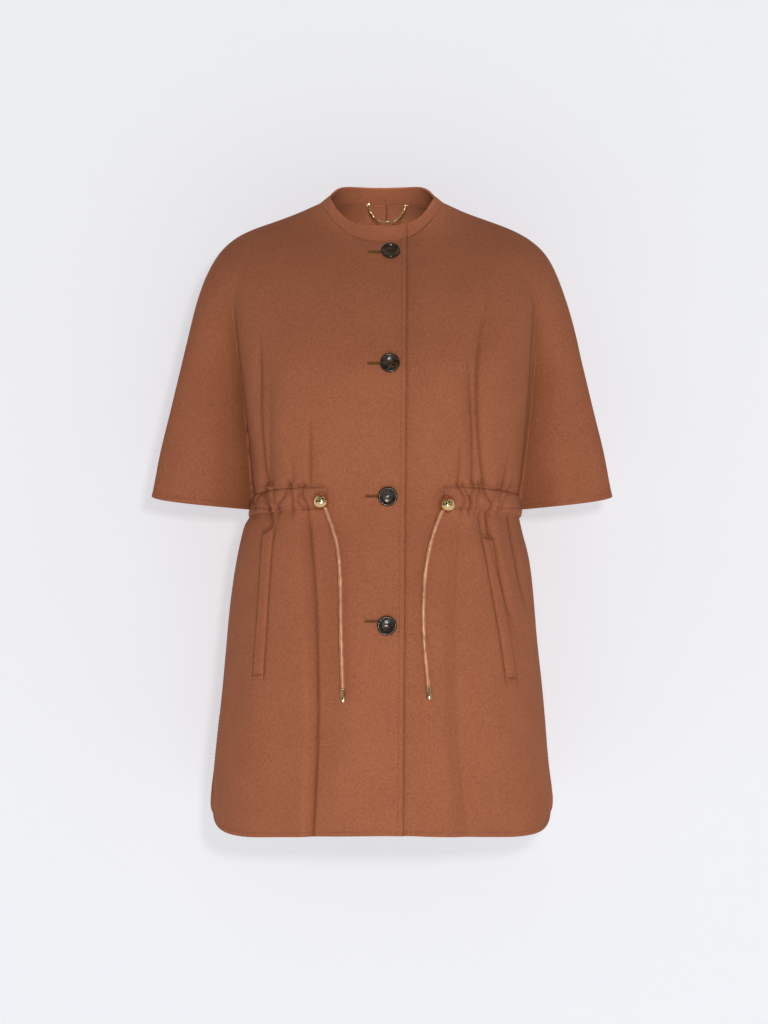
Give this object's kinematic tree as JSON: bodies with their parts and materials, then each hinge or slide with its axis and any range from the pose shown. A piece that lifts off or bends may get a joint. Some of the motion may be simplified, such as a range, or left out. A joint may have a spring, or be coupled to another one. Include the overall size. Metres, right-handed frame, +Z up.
{
  "type": "wool cape coat",
  "caption": "Wool cape coat with a stand collar, wide half sleeves cut in one, buttoned front, drawstring waist and side vents, held in its worn shape.",
  "frame": {"origin": "middle of the neck opening, at the height of the side neck points, where the wearer's neck and shoulders carry the coat", "axes": "+Z up, -Y towards the front of the coat, +X towards the wearer's left"},
  "size_m": [0.576, 0.2894, 0.8122],
  "materials": {
    "wool": "double-faced wool, brushed soft nap, tobacco brown",
    "button": "polished dark horn",
    "cord": "round leather cord, satin",
    "gilt": "polished pale gilt"
  },
  "bodies": {
    "root": {"front_right": "wool", "front_left": "wool", "back_right": "wool", "back_left": "wool", "collar": "wool", "casing_front_right": "wool", "casing_front_left": "wool", "casing_back_right": "wool", "casing_back_left": "wool", "welt_right": "wool", "welt_left": "wool", "button_1": "button", "button_2": "button", "button_3": "button", "button_4": "button", "cord_right": "cord", "cord_left": "cord", "stopper_right": "gilt", "stopper_left": "gilt", "cord_tip_right": "gilt", "cord_tip_left": "gilt", "hanger_chain": "gilt"}
  },
  "joints": []
}
